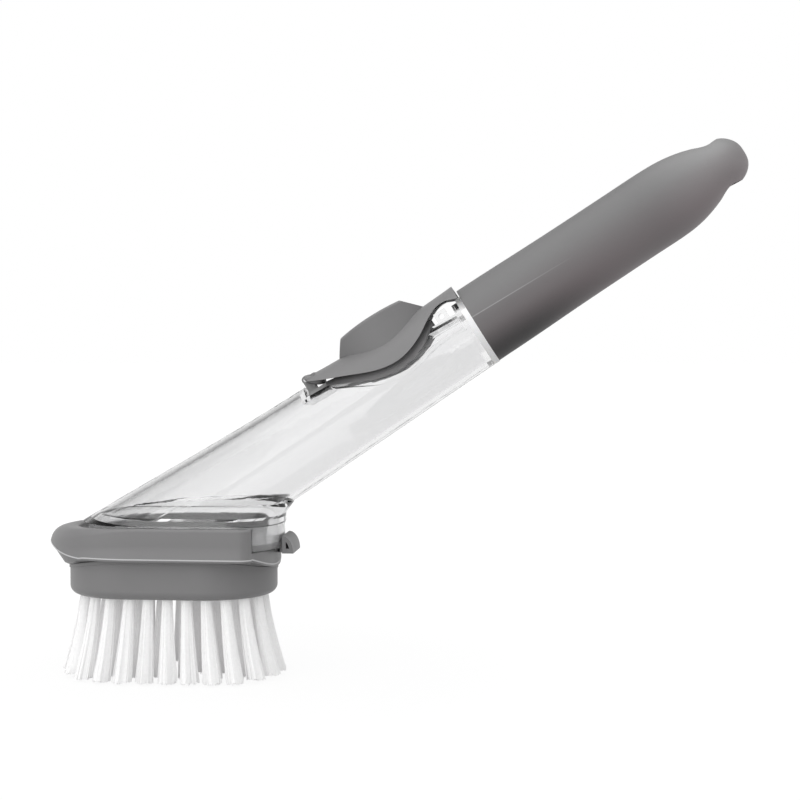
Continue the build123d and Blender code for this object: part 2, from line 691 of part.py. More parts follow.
def make_pump_seat():
    """Grey saddle that lines the pocket under the lever."""
    shell = round_bar(SEAT_OUTER_RADIUS, SEAT_FRONT_U, SEAT_REAR_U)
    shell -= round_bar(SEAT_OUTER_RADIUS - SEAT_THICK, SEAT_FRONT_U, SEAT_REAR_U)
    edge = above_edge(SEAT_EDGE_POINTS, 0, FLAT_FRONT_U, OVERRUN, 0)
    shell &= across(edge, OVERRUN)
    frame = round_bar(SEAT_OUTER_RADIUS - SEAT_THICK / 2, SEAT_BAND_FRONT_U, SEAT_BAND_REAR_U)
    frame &= above_flat(SEAT_GAP, SEAT_FRONT_U - OVERRUN, OVERRUN)
    hole = Ellipse(DIAPHRAGM_HALF_LENGTH + SLIDE_GAP, DIAPHRAGM_HALF_WIDTH + SLIDE_GAP)
    seat = shell + frame - Pos(DIAPHRAGM_U, 0, 0) * extrude(hole, OVERRUN)
    return seat - above_flat(SEAT_CROWN_RISE, SEAT_FRONT_U - OVERRUN, OVERRUN)


def make_lever_bracket():
    """Foot on the flat top with a lug up to the hinge."""
    front = HINGE_U - LUG_RUN / 2
    rear = front + BRACKET_FOOT_RUN
    low = flat_height(rear)
    foot = box_between(front, rear, BRACKET_FOOT_HALF_WIDTH, low, low + BRACKET_FOOT_THICK)
    lug = box_between(front, front + LUG_RUN, LUG_HALF_WIDTH, low, HINGE_W)
    lug += cross_bar(LUG_RUN / 2, HINGE_U, HINGE_W, LUG_HALF_WIDTH)
    bracket = (foot + lug) & above_flat(SEAT_GAP, front - OVERRUN, OVERRUN)
    return bracket - cross_bar(HINGE_PIN_RADIUS, HINGE_U, HINGE_W, OVERRUN)


def make_diaphragm():
    """Soft dome with a flange, hollow underneath."""
    length = DIAPHRAGM_HALF_LENGTH - DIAPHRAGM_FLANGE
    width = DIAPHRAGM_HALF_WIDTH - DIAPHRAGM_FLANGE
    flange = extrude(Ellipse(DIAPHRAGM_HALF_LENGTH, DIAPHRAGM_HALF_WIDTH), DIAPHRAGM_SKIN)
    dome = extrude(Ellipse(length, width), DIAPHRAGM_RISE, taper=DIAPHRAGM_DRAFT_DEG)
    hollow = extrude(
        Ellipse(length - DIAPHRAGM_SKIN, width - DIAPHRAGM_SKIN),
        DIAPHRAGM_RISE - DIAPHRAGM_SKIN,
        taper=DIAPHRAGM_DRAFT_DEG,
    )
    seat_w = flat_height(DIAPHRAGM_U) + SEAT_GAP
    return Pos(DIAPHRAGM_U, 0, seat_w) * Rot(0, FLAT_SLOPE_DEG, 0) * (flange + dome - hollow)


def saddle(radius):
    """Round bar about the tube's axis, bent so that both its ends rise."""
    axis = Axis((LEAF_MIDDLE_U, 0, LEAF_BEND_RADIUS), (0, 1, 0))
    section = Pos(LEAF_MIDDLE_U, 0, 0) * Rot(0, 90, 0) * Circle(radius)
    section = section.rotate(axis, -LEAF_BEND_DEG / 2)
    return revolve(section, axis, LEAF_BEND_DEG)


def make_press_lever():
    """Curved leaf with hinge knuckles, ribs and a plunger on its underside."""
    edge_start = LEAF_EDGE_POINTS[0][0]
    leaf = saddle(LEAF_RADIUS) - saddle(LEAF_RADIUS - LEAF_THICK)
    profile = above_edge(LEAF_EDGE_POINTS, 0, LEAF_FRONT_U, LEAF_REAR_U, LEAF_REAR_FALL)
    leaf &= across(profile, OVERRUN)
    knuckle = cross_bar(KNUCKLE_RADIUS, HINGE_U, HINGE_W, KNUCKLE_HALF_WIDTH)
    half_web = LEAF_THICK / 2
    web_end = edge_start + LUG_RUN
    web = box_between(HINGE_U, web_end, KNUCKLE_HALF_WIDTH, HINGE_W - half_web, HINGE_W + half_web)
    inner_w = LEAF_RADIUS - LEAF_THICK
    rib_low = inner_w - LEVER_RIB_DEPTH
    rib_start = LEVER_RIB_REAR_U - LEVER_RIB_RUN
    rib_top = LEAF_RADIUS + LEAF_THICK
    rib = box_between(rib_start, LEVER_RIB_REAR_U, LEVER_RIB_THICK / 2, rib_low, rib_top)
    ribs = Pos(0, LEVER_RIB_OFFSET, 0) * rib + Pos(0, -LEVER_RIB_OFFSET, 0) * rib
    ribs &= saddle(LEAF_RADIUS - half_web)
    plunger = Pos(PLUNGER_U, 0, inner_w - PLUNGER_REACH) * extrude(
        Circle(PLUNGER_RADIUS), PLUNGER_REACH + half_web
    )
    plunger &= saddle(LEAF_RADIUS - half_web)
    lug_reach = HINGE_U + LUG_RUN / 2 + SLIDE_GAP
    lug_space = box_between(edge_start - OVERRUN, lug_reach, LUG_HALF_WIDTH + SLIDE_GAP, 0, OVERRUN)
    lever = leaf + knuckle + web + ribs + plunger - lug_space
    return lever - cross_bar(HINGE_PIN_RADIUS + RUNNING_GAP, HINGE_U, HINGE_W, OVERRUN)


def make_lever_pin():
    """Pin through the bracket's lug and the lever's knuckles."""
    return cross_bar(HINGE_PIN_RADIUS, HINGE_U, HINGE_W, KNUCKLE_HALF_WIDTH)


def make_thumb_pad():
    """Raised pad bonded on the leaf."""
    middle = (PAD_FRONT_U + PAD_REAR_U) / 2
    near = ThreePointArc((PAD_FRONT_U, 0), (middle, PAD_HALF_WIDTH), (PAD_REAR_U, 0))
    far = ThreePointArc((PAD_REAR_U, 0), (middle, -PAD_HALF_WIDTH), (PAD_FRONT_U, 0))
    body = extrude(make_face([near, far]), OVERRUN)
    top_front = PAD_FRONT_U + PAD_FRONT_LEAN
    crown_w = (PAD_FRONT_TOP + PAD_PEAK_TOP) / 2 + PAD_CROWN
    crown = ThreePointArc(
        (top_front, PAD_FRONT_TOP),
        ((top_front + PAD_PEAK_U) / 2, crown_w),
        (PAD_PEAK_U, PAD_PEAK_TOP),
    )
    rest = Polyline(
        (PAD_PEAK_U, PAD_PEAK_TOP),
        (PAD_REAR_U, PAD_REAR_LEVEL),
        (PAD_REAR_U, 0),
        (PAD_FRONT_U, 0),
        (PAD_FRONT_U, PAD_REAR_LEVEL),
        (top_front, PAD_FRONT_TOP),
    )
    body &= across(make_face([crown, rest]), OVERRUN)
    top = [edge for edge in body.edges() if edge.center().Z > PAD_REAR_LEVEL + PAD_FRONT_LEAN]
    body = fillet(top, PAD_ROUND)
    return body - saddle(LEAF_RADIUS)


def make_grip_seal():
    """Flat-topped ring between the reservoir's shoulder and the grip."""
    ring = round_bar(TUBE_TOP_RADIUS, -SEAL_THICK, 0)
    ring -= box_between(-OVERRUN, OVERRUN, OVERRUN, FLAT_HEIGHT, OVERRUN)
    ring += round_bar(NECK_RADIUS + SEAL_LIP, -SEAL_THICK, 0)
    return ring - round_bar(NECK_RADIUS + SLIDE_GAP, -SEAL_THICK, 0)


def make_neck_o_ring():
    """O-ring in the groove of the neck."""
    return Pos(O_RING_U, 0, 0) * Rot(0, 90, 0) * Torus(NECK_RADIUS - O_RING_INSET, O_RING_WIRE)


def grip_section(station, top, bottom, width):
    """Elliptic section of the grip from its shares of length and radius."""
    half_height = GRIP_RADIUS * (top + bottom) / 2
    centre_w = GRIP_RADIUS * (top - bottom) / 2
    outline = Ellipse(half_height, GRIP_RADIUS * width)
    return Pos(GRIP_LENGTH * station, 0, centre_w) * Rot(0, 90, 0) * outline


def make_grip():
    """Hollow handle with the bush's socket and the hanging hole."""
    count = len(GRIP_BARREL_TOP_SHARES)
    stations = [GRIP_BARREL_STEP_SHARE * i for i in range(count - 1)]
    stations.append(GRIP_TIP_STATION_SHARES[0])
    barrel = zip(
        stations, GRIP_BARREL_TOP_SHARES, GRIP_BARREL_BOTTOM_SHARES, GRIP_BARREL_WIDTH_SHARES
    )
    tip = zip(
        GRIP_TIP_STATION_SHARES, GRIP_TIP_TOP_SHARES, GRIP_TIP_BOTTOM_SHARES, GRIP_TIP_WIDTH_SHARES
    )
    body = loft([grip_section(*values) for values in barrel])
    body += loft([grip_section(*values) for values in tip])
    socket_radius = NECK_RADIUS + SLIDE_GAP + BUSH_WALL + SEAT_GAP
    body -= round_bar(socket_radius, 0, BUSH_LENGTH + SEAT_GAP)
    waist_u = GRIP_LENGTH * GRIP_WAIST_SHARE
    hollow_radius = GRIP_RADIUS * GRIP_BARREL_BOTTOM_SHARES[GRIP_WAIST_STATION] - GRIP_WALL
    body -= round_bar(hollow_radius, BUSH_LENGTH, waist_u)
    wide = Pos(waist_u, 0, 0) * Rot(0, 90, 0) * Circle(hollow_radius)
    narrow = Pos(GRIP_HOLLOW_LENGTH, 0, GRIP_WALL / 2) * Rot(0, 90, 0) * Circle(HANG_HOLE_RADIUS)
    body -= loft([wide, narrow], ruled=True)
    hole = Pos(GRIP_LENGTH - HANG_HOLE_INSET, 0, 0) * Cylinder(HANG_HOLE_RADIUS, 2 * OVERRUN)
    return body - hole


def make_grip_bush():
    """Threaded bush inside the grip's mouth."""
    bore = NECK_RADIUS + SLIDE_GAP
    return round_bar(bore + BUSH_WALL, 0, BUSH_LENGTH) - round_bar(bore, 0, BUSH_LENGTH)


def main():
    export(make_reservoir(), "reservoir")
    export(make_foot_tray(), "foot_tray")
    export(make_outlet_valve(), "outlet_valve")
    export(make_valve_ring(), "valve_ring")
    export(place_on_tube(make_pump_seat()), "pump_seat")
    export(place_on_tube(make_diaphragm()), "pump_diaphragm")
    export(place_on_tube(make_lever_bracket()), "lever_bracket")
    export(place_on_tube(make_lever_pin()), "lever_pin")
    export(place_on_tube(make_neck_o_ring()), "neck_o_ring")
    export(place_on_tube(make_press_lever()), "press_lever")
    export(place_on_tube(make_thumb_pad()), "thumb_pad")
    export(place_on_tube(make_grip_seal()), "grip_seal")
    export(place_on_tube(make_grip()), "grip")
    export(place_on_tube(make_grip_bush()), "grip_bush")
    export(make_head_shoe(), "head_shoe")
    export(make_latch_tab(), "latch_tab")
    export(make_head_gasket(), "head_gasket")
    export(make_brush_block(), "brush_block")
    export(Compound(children=staples()), "tuft_staples")
    export(make_bristles(), "bristles")


main()
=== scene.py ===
import math

import bpy
import numpy as np
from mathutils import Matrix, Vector


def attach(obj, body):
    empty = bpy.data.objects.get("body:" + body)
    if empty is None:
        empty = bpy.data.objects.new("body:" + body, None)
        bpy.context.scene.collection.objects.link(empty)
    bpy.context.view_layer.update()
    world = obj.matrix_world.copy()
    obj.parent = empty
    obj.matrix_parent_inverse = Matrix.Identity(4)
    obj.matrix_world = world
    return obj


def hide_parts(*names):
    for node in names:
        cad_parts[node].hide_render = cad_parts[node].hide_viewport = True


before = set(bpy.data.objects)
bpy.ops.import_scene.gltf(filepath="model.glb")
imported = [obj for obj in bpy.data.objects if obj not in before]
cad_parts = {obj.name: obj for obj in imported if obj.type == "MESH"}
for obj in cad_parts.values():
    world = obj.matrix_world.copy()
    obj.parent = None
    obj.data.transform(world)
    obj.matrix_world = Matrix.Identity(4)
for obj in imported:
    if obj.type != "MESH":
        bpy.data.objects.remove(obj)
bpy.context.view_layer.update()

# ---- Camera, studio and floor ---------------------------------------------------------------
# The wand stands on its bristle tips on a white floor in a plain white studio.
# The camera looks at its near side from slightly above and to the right of the head.
VIEW_TARGET = Vector((0.0852, 0.0, 0.1024))
VIEW_DISTANCE = 0.52
VIEW_YAW = math.radians(5.0)
VIEW_RISE = math.radians(2.0)
VIEW_LENS = 63.63

view_back = Vector((
    math.sin(VIEW_YAW) * math.cos(VIEW_RISE),
    -math.cos(VIEW_YAW) * math.cos(VIEW_RISE),
    math.sin(VIEW_RISE),
))
camera = bpy.data.objects.new("camera", bpy.data.cameras.new("camera"))
bpy.context.collection.objects.link(camera)
camera.data.lens = VIEW_LENS
camera.data.sensor_width = 36.0
camera.data.clip_start = 0.01
camera.location = VIEW_TARGET + view_back * VIEW_DISTANCE
camera.rotation_euler = (-view_back).to_track_quat("-Z", "Y").to_euler()
bpy.context.scene.camera = camera
bpy.context.scene.view_settings.view_transform = "Standard"


def node(tree, kind, **values):
    """Adds a node to a tree and sets its properties and unlinked inputs by name."""
    made = tree.nodes.new(kind)
    for name, value in values.items():
        if name in made.bl_rna.properties:
            setattr(made, name, value)
        else:
            made.inputs[name.replace("_", " ")].default_value = value
    return made


def studio_rays(tree):
    """Two masks: camera rays, and rays that clear plastic lets through or a gloss reflects."""
    path = node(tree, "ShaderNodeLightPath")
    either = node(tree, "ShaderNodeMath", operation="MAXIMUM")
    tree.links.new(path.outputs["Is Transmission Ray"], either.inputs[0])
    tree.links.new(path.outputs["Is Glossy Ray"], either.inputs[1])
    return path.outputs["Is Camera Ray"], either.outputs[0]


# The world is white to the camera, a white band below a grey ceiling to clear plastic and
# glosses, and plain soft light to everything else.
WORLD_LIGHT = 0.8
CEILING_LEVEL = 0.3
CEILING_START = 0.12
CEILING_FULL = 0.55
world = bpy.data.worlds.new("studio")
bpy.context.scene.world = world
world.use_nodes = True
tree = world.node_tree
tree.nodes.clear()
way = node(tree, "ShaderNodeTexCoord")
parts = node(tree, "ShaderNodeSeparateXYZ")
tree.links.new(way.outputs["Generated"], parts.inputs[0])
dim = node(
    tree, "ShaderNodeMapRange",
    From_Min=CEILING_START, From_Max=CEILING_FULL, To_Min=1.0, To_Max=CEILING_LEVEL,
)
tree.links.new(parts.outputs["Z"], dim.inputs["Value"])
direct, through = studio_rays(tree)
level = node(tree, "ShaderNodeMix", data_type="FLOAT")
tree.links.new(through, level.inputs["Factor"])
level.inputs["A"].default_value = WORLD_LIGHT
tree.links.new(dim.outputs[0], level.inputs["B"])
seen = node(tree, "ShaderNodeMix", data_type="FLOAT")
tree.links.new(direct, seen.inputs["Factor"])
tree.links.new(level.outputs[0], seen.inputs["A"])
seen.inputs["B"].default_value = 1.0
glow = node(tree, "ShaderNodeBackground", Color=(1.0, 1.0, 1.0, 1.0))
tree.links.new(seen.outputs[0], glow.inputs["Strength"])
out = node(tree, "ShaderNodeOutputWorld")
tree.links.new(glow.outputs[0], out.inputs["Surface"])


def softbox(name, place, aim, size, watts):
    """Square area lamp at a place, aimed at a point."""
    lamp = bpy.data.objects.new(name, bpy.data.lights.new(name, "AREA"))
    bpy.context.collection.objects.link(lamp)
    lamp.data.shape = "SQUARE"
    lamp.data.size = size
    lamp.data.energy = watts
    lamp.location = place
    lamp.rotation_euler = (Vector(aim) - Vector(place)).to_track_quat("-Z", "Y").to_euler()


softbox("lamp_top", (0.0, -0.15, 1.10), (0.08, 0.0, 0.12), 1.3, 6.0)
softbox("lamp_near", (-0.55, -0.95, 0.50), (0.08, 0.0, 0.10), 1.1, 5.0)

# Floor: white to the camera apart from the object's soft shadow, which fades out with distance.
FLOOR_HALF = 12.0
FLOOR_DROP = 0.0005
FLOOR_GLOW = 0.86
FLOOR_STRENGTH = 1.08
FLOOR_SHADE = 0.45
SHADOW_NEAR = 0.10
SHADOW_FAR = 0.45
THROUGH_GLOW = 0.8
floor_mesh = bpy.data.meshes.new("floor")
corners = [(-1, -1), (1, -1), (1, 1), (-1, 1)]
floor_points = [(x * FLOOR_HALF, y * FLOOR_HALF, -FLOOR_DROP) for x, y in corners]
floor_mesh.from_pydata(floor_points, [], [(0, 1, 2, 3)])
floor = bpy.data.objects.new("floor", floor_mesh)
bpy.context.collection.objects.link(floor)
white = bpy.data.materials.new("floor_white")
white.use_nodes = True
tree = white.node_tree
tree.nodes.clear()
place = node(tree, "ShaderNodeTexCoord")
away = node(tree, "ShaderNodeVectorMath", operation="LENGTH")
tree.links.new(place.outputs["Object"], away.inputs[0])
fade = node(
    tree, "ShaderNodeMapRange", From_Min=SHADOW_NEAR, From_Max=SHADOW_FAR, To_Min=FLOOR_GLOW,
)
tree.links.new(away.outputs["Value"], fade.inputs["Value"])
direct, through = studio_rays(tree)
straight = node(tree, "ShaderNodeMath", operation="MULTIPLY")
tree.links.new(direct, straight.inputs[0])
tree.links.new(fade.outputs[0], straight.inputs[1])
share = node(tree, "ShaderNodeMath", operation="MULTIPLY_ADD")
tree.links.new(through, share.inputs[0])
share.inputs[1].default_value = THROUGH_GLOW
tree.links.new(straight.outputs[0], share.inputs[2])
lit = node(tree, "ShaderNodeBsdfDiffuse", Color=(FLOOR_SHADE, FLOOR_SHADE, FLOOR_SHADE, 1.0))
shine = node(tree, "ShaderNodeEmission", Color=(1.0, 1.0, 1.0, 1.0), Strength=FLOOR_STRENGTH)
blend = node(tree, "ShaderNodeMixShader")
tree.links.new(share.outputs[0], blend.inputs[0])
tree.links.new(lit.outputs[0], blend.inputs[1])
tree.links.new(shine.outputs[0], blend.inputs[2])
out = node(tree, "ShaderNodeOutputMaterial")
tree.links.new(blend.outputs[0], out.inputs["Surface"])
floor_mesh.materials.append(white)


# ---- Brush block and latch tab --------------------------------------------------------------
# Both are moulded in the head's satin grey plastic, which is faintly mottled.
# The block is pressed up into the shoe, and the latch tab ends the tongue in the shoe's floor.
GREY = (0.187, 0.185, 0.187)


def moulded_group():
    """Group that turns Object coordinates into a slightly mottled colour, roughness and height."""
    group = bpy.data.node_groups.new("moulded_surface", "ShaderNodeTree")
    face = group.interface
    face.new_socket("Colour", in_out="INPUT", socket_type="NodeSocketColor")
    face.new_socket("Mottle", in_out="INPUT", socket_type="NodeSocketFloat")
    face.new_socket("Roughness", in_out="INPUT", socket_type="NodeSocketFloat")
    face.new_socket("Grain Size", in_out="INPUT", socket_type="NodeSocketFloat")
    face.new_socket("Colour", in_out="OUTPUT", socket_type="NodeSocketColor")
    face.new_socket("Roughness", in_out="OUTPUT", socket_type="NodeSocketFloat")
    face.new_socket("Height", in_out="OUTPUT", socket_type="NodeSocketFloat")
    given = group.nodes.new("NodeGroupInput")
    result = group.nodes.new("NodeGroupOutput")
    coords = node(group, "ShaderNodeTexCoord")
    cloud = node(group, "ShaderNodeTexNoise", Scale=60.0, Detail=3.0, Roughness=0.6)
    group.links.new(coords.outputs["Object"], cloud.inputs["Vector"])
    centred = node(group, "ShaderNodeMath", operation="SUBTRACT")
    centred.inputs[1].default_value = 0.5
    group.links.new(cloud.outputs["Fac"], centred.inputs[0])
    change = node(group, "ShaderNodeMath", operation="MULTIPLY_ADD")
    group.links.new(centred.outputs[0], change.inputs[0])
    group.links.new(given.outputs["Mottle"], change.inputs[1])
    change.inputs[2].default_value = 1.0
    tint = node(group, "ShaderNodeMix", data_type="RGBA", blend_type="MULTIPLY")
    tint.inputs[0].default_value = 1.0
    group.links.new(given.outputs["Colour"], tint.inputs[6])
    group.links.new(change.outputs[0], tint.inputs[7])
    group.links.new(tint.outputs[2], result.inputs["Colour"])
    grain = node(group, "ShaderNodeTexNoise", Detail=2.0, Roughness=0.5)
    group.links.new(coords.outputs["Object"], grain.inputs["Vector"])
    group.links.new(given.outputs["Grain Size"], grain.inputs["Scale"])
    rough = node(group, "ShaderNodeMath", operation="MULTIPLY_ADD")
    group.links.new(centred.outputs[0], rough.inputs[0])
    rough.inputs[1].default_value = 0.25
    group.links.new(given.outputs["Roughness"], rough.inputs[2])
    group.links.new(rough.outputs[0], result.inputs["Roughness"])
    group.links.new(grain.outputs["Fac"], result.inputs["Height"])
    return group


moulded = moulded_group()


def plastic(name, colour, roughness, mottle, grain, bump):
    """Opaque moulded plastic with a fine grain, from the shared group."""
    material = bpy.data.materials.new(name)
    material.use_nodes = True
    tree = material.node_tree
    shader = tree.nodes["Principled BSDF"]
    surface = node(tree, "ShaderNodeGroup", node_tree=moulded)
    surface.inputs["Colour"].default_value = (*colour, 1.0)
    surface.inputs["Mottle"].default_value = mottle
    surface.inputs["Roughness"].default_value = roughness
    surface.inputs["Grain Size"].default_value = grain
    relief = node(tree, "ShaderNodeBump", Strength=bump, Distance=0.0002)
    tree.links.new(surface.outputs["Colour"], shader.inputs["Base Color"])
    tree.links.new(surface.outputs["Roughness"], shader.inputs["Roughness"])
    tree.links.new(surface.outputs["Height"], relief.inputs["Height"])
    tree.links.new(relief.outputs["Normal"], shader.inputs["Normal"])
    return material


def dress(material, *names):
    """Gives CAD nodes a material in place of their own."""
    for name in names:
        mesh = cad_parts[name].data
        mesh.materials.clear()
        mesh.materials.append(material)


grey_plastic = plastic("grey_plastic", GREY, 0.42, 0.10, 2500.0, 0.15)
dress(grey_plastic, "latch_tab", "brush_block")

# ---- Shoe -----------------------------------------------------------------------------------
# Boat-nosed tray of the head, moulded in one piece in the same grey, with a rolled nose, a chin
# cut back under it, a fine bead along the parting line and a floor with the outlet's hole.
# The bead's rows are coloured a paler grey: a painted highlight along the parting line.
SHOE_FRONT = -0.0459
SHOE_REAR = 0.0399
SHOE_HALF_WIDTH = 0.0256
SHOE_NOSE_RUN = 0.036
SHOE_REAR_RUN = 0.010
SHOE_TOP = 0.0568
SHOE_NOSE_DROP = 0.0012
SHOE_FLOOR = 0.0481
SEAM_LOW = 0.041
SEAM_RADIUS = 0.066
WALL_END = 0.0342
WELL_FRONT = -0.0351
WELL_RUN = 0.0276
WELL_HALF_WIDTH = 0.0219
REAR_RIM = 0.004
OUTLET_HOLE = 0.0075
NOSE_ROLL = 0.0062
WALL_ROLL = 0.0009
REAR_ROLL = 0.0004
LIP_ROLL = 0.0004
CHIN_TOP = 0.0502
CHIN_INSET = 0.0072
CHIN_END = math.radians(57.0)
CHIN_SHAPE = 1.3
BEAD_SHAPE = 2.2
UNDERSIDE_INSETS = (0.012, 0.008, 0.004)
SKIRT_INSET = 0.0016
SKIRT_CHIN = 0.001
EDGE_LOW = 0.0425
EDGE_HIGH = 0.0449
BEAD_HEIGHT = 0.0008
BEAD_OUT = 0.00012
BEAD_FLAT = 0.00025
BEAD_HIGHLIGHT_ROWS = slice(6, 9)


def shoe_mesh():
    """Closed ring of profiles, each from the parting seam up over the wall to the floor.

    Round the head a place is a centre on the long axis plus a run along a direction: half an
    ellipse at the nose, straight sides, half an ellipse at the rear. An inset shortens the runs.
    The seam's height is its lowest one plus the radius less the root of the radius squared less
    the sideways distance squared. The chin's inset fades from the nose's tip with the sine of
    the direction to a power, and the bead sinks from the chin's top to the skirt the same way.
    """
    nose = np.linspace(np.pi / 2, 3 * np.pi / 2, 61)
    end = math.acos((WALL_END - (SHOE_REAR - SHOE_REAR_RUN)) / SHOE_REAR_RUN)
    wall_turn = np.linspace(np.pi / 2, end, 9)
    rear = np.linspace(end, -end, 31)
    side = np.linspace(0.0, 1.0, 13)[1:-1]
    nose_x = SHOE_FRONT + SHOE_NOSE_RUN
    rear_x = SHOE_REAR - SHOE_REAR_RUN
    well_x = WELL_FRONT + WELL_RUN
    turn = np.concatenate([
        wall_turn[::-1], np.full(len(side), np.pi / 2), nose,
        np.full(len(side), -np.pi / 2), -wall_turn, -rear,
    ])
    ahead = np.concatenate([
        np.ones(len(wall_turn)), 1 - side, np.zeros(len(nose)), side,
        np.ones(len(wall_turn)), np.ones(len(rear)),
    ])
    is_nose = ahead == 0.0
    is_rear = np.arange(len(turn)) >= len(turn) - len(rear)
    cos, sin = np.cos(turn), np.sin(turn)
    run = np.where(is_nose, SHOE_NOSE_RUN, SHOE_REAR_RUN)
    centre = nose_x + (rear_x - nose_x) * ahead
    well_centre = well_x + (rear_x - well_x) * ahead
    tip = np.where(is_nose, np.maximum(-cos, 0.0), 0.0)
    side_share = np.where(is_nose, np.minimum(np.abs(sin) / math.sin(CHIN_END), 1.0), 1.0)

    def at(inset):
        return centre + cos * (run - inset), sin * (SHOE_HALF_WIDTH - inset)

    def seam_under(y):
        return SEAM_LOW + SEAM_RADIUS - np.sqrt(SEAM_RADIUS ** 2 - y ** 2)

    outer_x, outer_y = at(0.0)
    seam = seam_under(outer_y)
    skirt = np.where(is_rear, seam, np.clip(seam, EDGE_LOW, EDGE_HIGH))
    chin = CHIN_INSET * (1.0 - side_share ** CHIN_SHAPE)
    has_chin = chin > SKIRT_CHIN
    bead = CHIN_TOP - (CHIN_TOP - skirt - BEAD_HEIGHT) * side_share ** BEAD_SHAPE
    roll = np.where(is_rear, REAR_ROLL, WALL_ROLL + (NOSE_ROLL - WALL_ROLL) * tip ** 1.5)
    top = np.where(is_rear, SHOE_FLOOR, SHOE_TOP - SHOE_NOSE_DROP * tip)
    rows = []

    def row(place, height):
        rows.append(np.stack([place[0], place[1], height + 0.0 * place[0]], axis=-1))

    for inset in UNDERSIDE_INSETS:
        row(at(chin + inset), seam_under(at(chin + inset)[1]))
    skirt_place = at(chin + SKIRT_INSET)
    row(skirt_place, np.where(has_chin, seam_under(skirt_place[1]), skirt))
    row(at(chin), np.where(has_chin, skirt + 0.0003 * side_share, skirt))
    row(at(0.1 * chin), bead - 0.0004)
    row(at(0.0), bead - 0.0001)
    row(at(-BEAD_OUT), bead)
    row(at(-BEAD_OUT), bead + BEAD_FLAT)
    row(at(0.0), np.minimum(bead + 0.0004, top - 0.0005))
    wall_low = bead + 0.0005
    for share in (0.5, 1.0):
        row(at(0.0), np.maximum(wall_low, wall_low + (top - roll - wall_low) * share))
    for bend in np.linspace(0.0, np.pi / 2, 9)[1:]:
        height = top - roll * (1 - math.sin(bend))
        row(at(roll * (1 - math.cos(bend))), np.maximum(height, bead + 0.0006))
    inner_x = np.where(is_nose, well_centre + cos * WELL_RUN, outer_x)
    inner_x = np.where(~is_nose & ~is_rear & (ahead < 1.0), well_centre, inner_x)
    inner_x = np.where(is_rear, centre + cos * (run - REAR_RIM), inner_x)
    inner_y = np.where(is_rear, sin * (SHOE_HALF_WIDTH - REAR_RIM), sin * WELL_HALF_WIDTH)
    inner_y = np.where(~is_nose & ~is_rear, np.sign(sin) * WELL_HALF_WIDTH, inner_y)
    row(np.stack([inner_x, inner_y]) + np.stack([cos, sin]) * LIP_ROLL, top)
    row((inner_x, inner_y), top - np.where(is_rear, 0.0, LIP_ROLL))
    row((inner_x, inner_y), SHOE_FLOOR)
    row((cos * OUTLET_HOLE, sin * OUTLET_HOLE), SHOE_FLOOR)
    row((cos * OUTLET_HOLE, sin * OUTLET_HOLE), SEAM_LOW)
    points = np.stack(rows)
    count, around = points.shape[:2]
    i = np.arange(count)[:, None]
    j = np.arange(around)[None, :]
    after_i, after_j = (i + 1) % count, (j + 1) % around
    quads = np.stack([
        i * around + j, i * around + after_j, after_i * around + after_j, after_i * around + j,
    ], axis=-1)
    shade = np.zeros((count, around), dtype=int)
    # The bead's rows take the second material, the painted highlight.
    shade[BEAD_HIGHLIGHT_ROWS] = 1
    mesh = bpy.data.meshes.new("shoe_moulding")
    mesh.from_pydata(points.reshape(-1, 3), [], quads.reshape(-1, 4).tolist())
    mesh.polygons.foreach_set("material_index", shade.reshape(-1))
    mesh.polygons.foreach_set("use_smooth", np.ones(count * around, dtype=bool))
    mesh.update()
    return mesh


def piece_of(mesh, *materials):
    """Object at the origin for a mesh, under the mesh's name and with its materials."""
    made = bpy.data.objects.new(mesh.name, mesh)
    bpy.context.collection.objects.link(made)
    for material in materials:
        mesh.materials.append(material)
    return made


# Painted highlight: a pale grey for the bead's rows, standing in for the light along its edge.
bead_highlight_plastic = plastic("bead_highlight_plastic", (0.50, 0.50, 0.505), 0.35, 0.08, 2500.0, 0.1)
shoe = piece_of(shoe_mesh(), grey_plastic, bead_highlight_plastic)
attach(shoe, "brush_head")
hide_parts("head_shoe")

# ---- Latch tongue ---------------------------------------------------------------------------
# Rear end of the flat spring in the shoe's floor, moulded with the shoe in the same grey.
# It carries the latch tab past the shoe's rear edge.
TONGUE_X = (0.0340, 0.0413)
TONGUE_HALF = 0.0054
TONGUE_Z = (0.0463, 0.0480)
TONGUE_EDGE = 0.0003
profile = [
    (-TONGUE_HALF, TONGUE_Z[0] + TONGUE_EDGE), (-TONGUE_HALF + TONGUE_EDGE, TONGUE_Z[0]),
    (TONGUE_HALF - TONGUE_EDGE, TONGUE_Z[0]), (TONGUE_HALF, TONGUE_Z[0] + TONGUE_EDGE),
    (TONGUE_HALF, TONGUE_Z[1] - TONGUE_EDGE), (TONGUE_HALF - TONGUE_EDGE, TONGUE_Z[1]),
    (-TONGUE_HALF + TONGUE_EDGE, TONGUE_Z[1]), (-TONGUE_HALF, TONGUE_Z[1] - TONGUE_EDGE),
]
tongue_mesh = bpy.data.meshes.new("latch_tongue")
tongue_mesh.from_pydata(
    [(x, y, z) for x in TONGUE_X for y, z in profile], [],
    [(k, (k + 1) % 8, 8 + (k + 1) % 8, 8 + k) for k in range(8)]
    + [tuple(range(8))[::-1], tuple(range(8, 16))],
)
tongue_mesh.update()
tongue = piece_of(tongue_mesh, grey_plastic)
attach(tongue, "brush_head")

# ---- Press lever ----------------------------------------------------------------------------
# Curved leaf with a raised thumb pad, on a pin at its front. The leaf is moulded in the head's
# grey, and the pad is of a slightly softer rubber.
lever_plastic = plastic("lever_plastic", (0.195, 0.193, 0.195), 0.38, 0.08, 2500.0, 0.12)
pad_rubber = plastic("pad_rubber", (0.190, 0.188, 0.190), 0.5, 0.08, 1800.0, 0.2)
dress(lever_plastic, "press_lever")
dress(pad_rubber, "thumb_pad")

